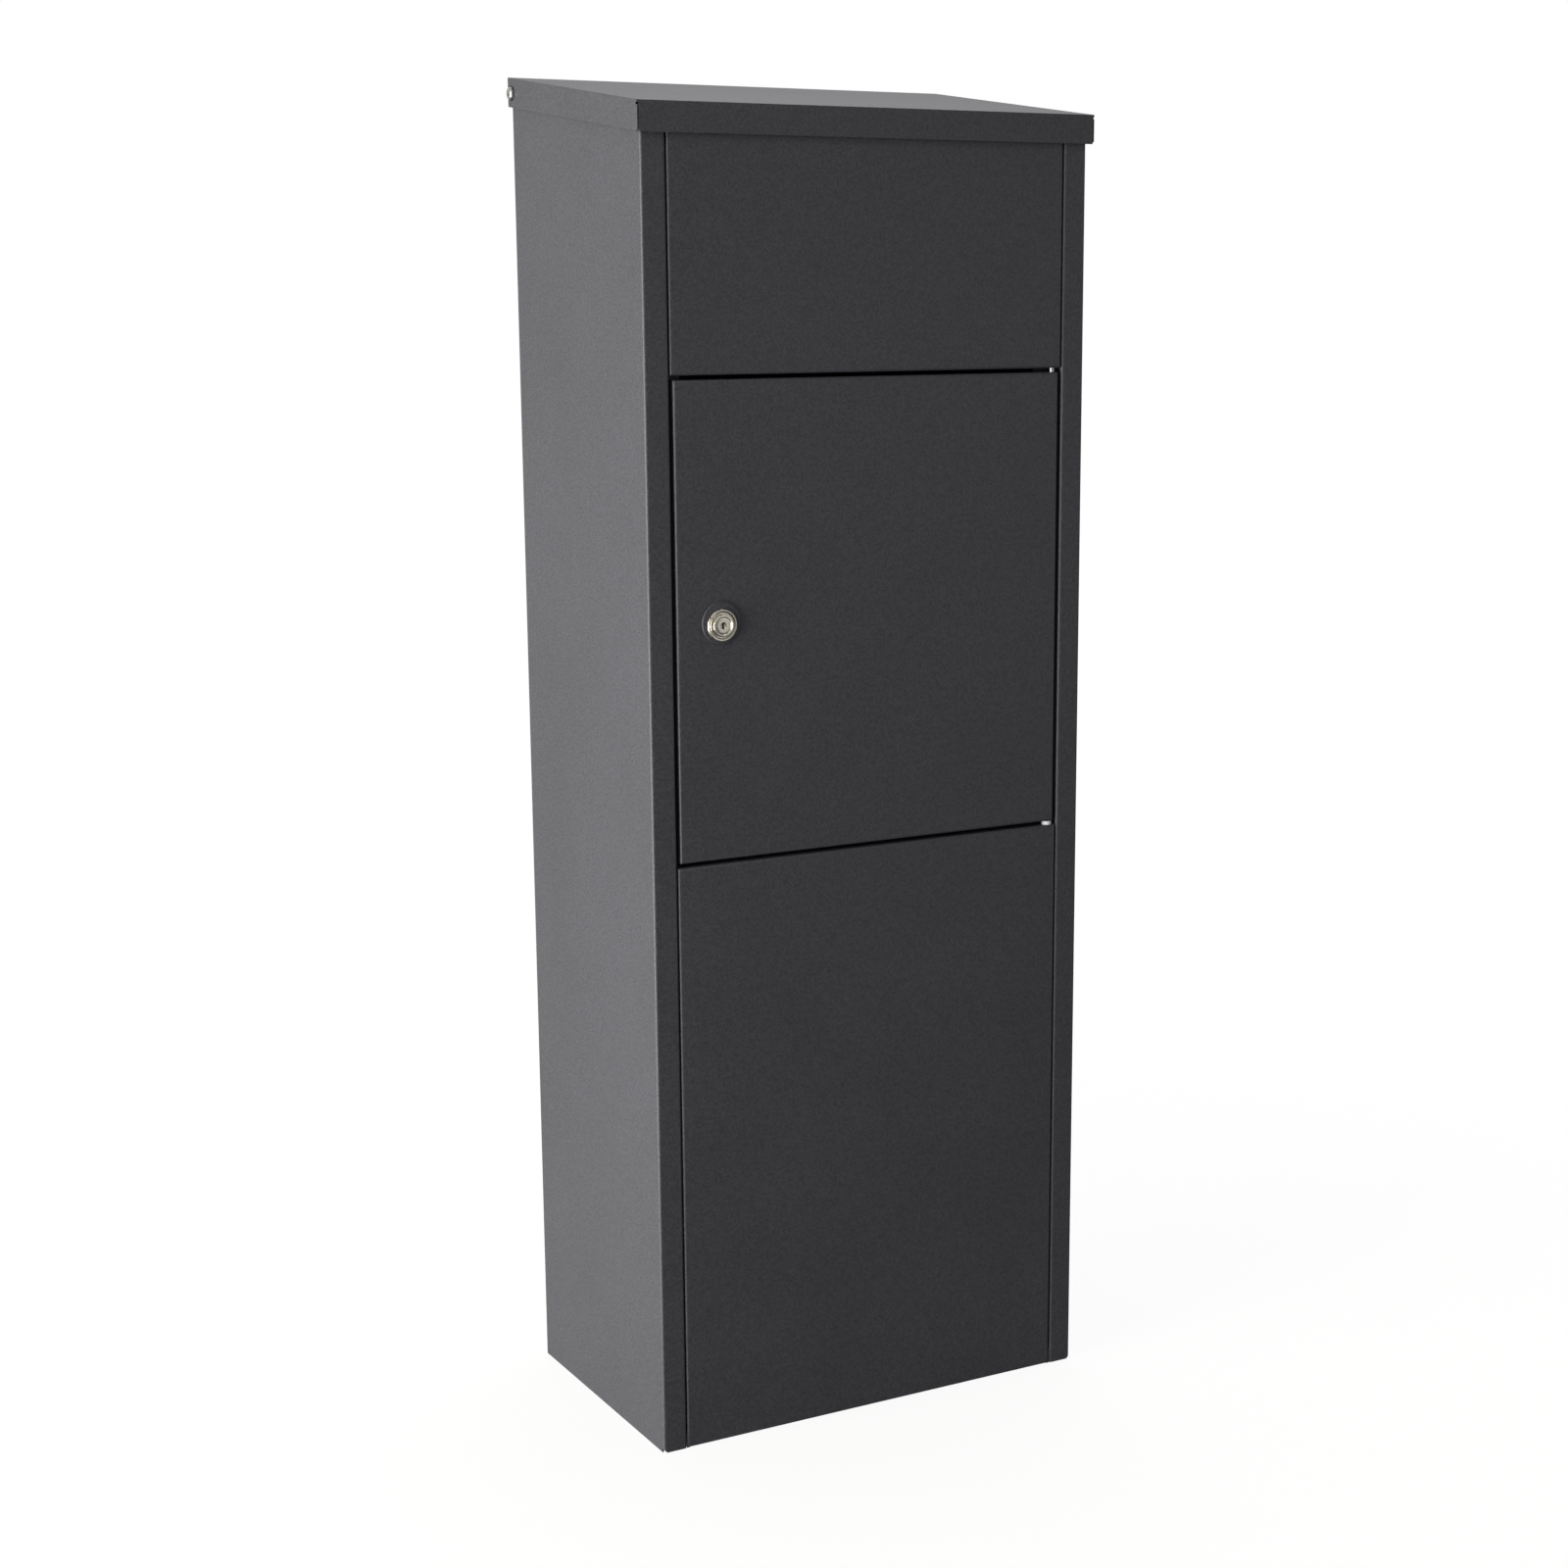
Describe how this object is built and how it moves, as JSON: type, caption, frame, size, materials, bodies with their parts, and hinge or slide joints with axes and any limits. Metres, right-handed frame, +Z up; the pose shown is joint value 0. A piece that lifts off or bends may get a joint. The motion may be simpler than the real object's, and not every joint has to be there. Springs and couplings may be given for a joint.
{
  "type": "parcel drop box",
  "caption": "tall free-standing parcel box of folded sheet steel, with a hinged sloping lid, a locked front door, and a guard plate that bars the deposit chamber",
  "frame": {"origin": "on the floor plane, under the middle of the overall box", "axes": "+X to the right as seen from the front, +Y to the back, +Z up; the door and the lid's low edge face -Y"},
  "size_m": [0.3938, 0.2352, 1.05],
  "materials": {
    "powder_coat": "fine-grain matt anthracite powder coat on steel",
    "nickel_plate": "satin nickel plate on the lock",
    "stainless_steel": "plain stainless steel",
    "zinc_steel": "bright zinc-plated steel",
    "aluminium_rivet": "plain aluminium blind rivet",
    "white_nylon": "natural white nylon",
    "black_nylon": "black nylon",
    "black_rubber": "black rubber"
  },
  "bodies": {
    "housing": {"left_side_panel": "powder_coat", "right_side_panel": "powder_coat", "back_panel": "powder_coat", "base_tray": "powder_coat", "upper_front_panel": "powder_coat", "lower_front_panel": "powder_coat", "upper_panel_rivets": "aluminium_rivet", "lower_panel_rivets": "aluminium_rivet", "panel_hinge_blocks": "powder_coat", "upper_hinge_pin": "zinc_steel", "lower_hinge_pin": "zinc_steel", "hinge_washer": "white_nylon", "door_bumpers": "black_rubber", "lid_bumpers": "black_rubber", "lid_stop_brackets": "powder_coat", "pivot_screws": "stainless_steel", "pivot_washers": "black_nylon", "pivot_spacers": "black_nylon", "pivot_nuts": "zinc_steel"},
    "lid": {"lid_panel": "powder_coat", "guard_plate": "powder_coat", "guard_studs": "zinc_steel", "guard_nuts": "zinc_steel"},
    "door": {"door_panel": "powder_coat", "door_stiffener": "powder_coat", "door_hinge_blocks": "powder_coat", "lock_collar": "powder_coat", "lock_body": "nickel_plate", "lock_nut": "zinc_steel"},
    "lock": {"lock_plug": "nickel_plate", "lock_cam": "zinc_steel", "cam_washer": "zinc_steel", "cam_screw": "zinc_steel"}
  },
  "joints": [
    {"name": "lid_hinge", "type": "hinge", "parent": "housing", "child": "lid", "pos_m": [0, 0.1093, 1.03743], "axis": [-1, 0, 0], "range_deg": [0, 75]},
    {"name": "door_hinge", "type": "hinge", "parent": "housing", "child": "door", "pos_m": [0.163, -0.1087, 0.6455], "axis": [0, 0, 1], "range_deg": [0, 110]},
    {"name": "lock_turn", "type": "hinge", "parent": "door", "child": "lock", "pos_m": [-0.131, -0.1127, 0.6445], "axis": [0, 1, 0], "range_deg": [0, 90]}
  ]
}
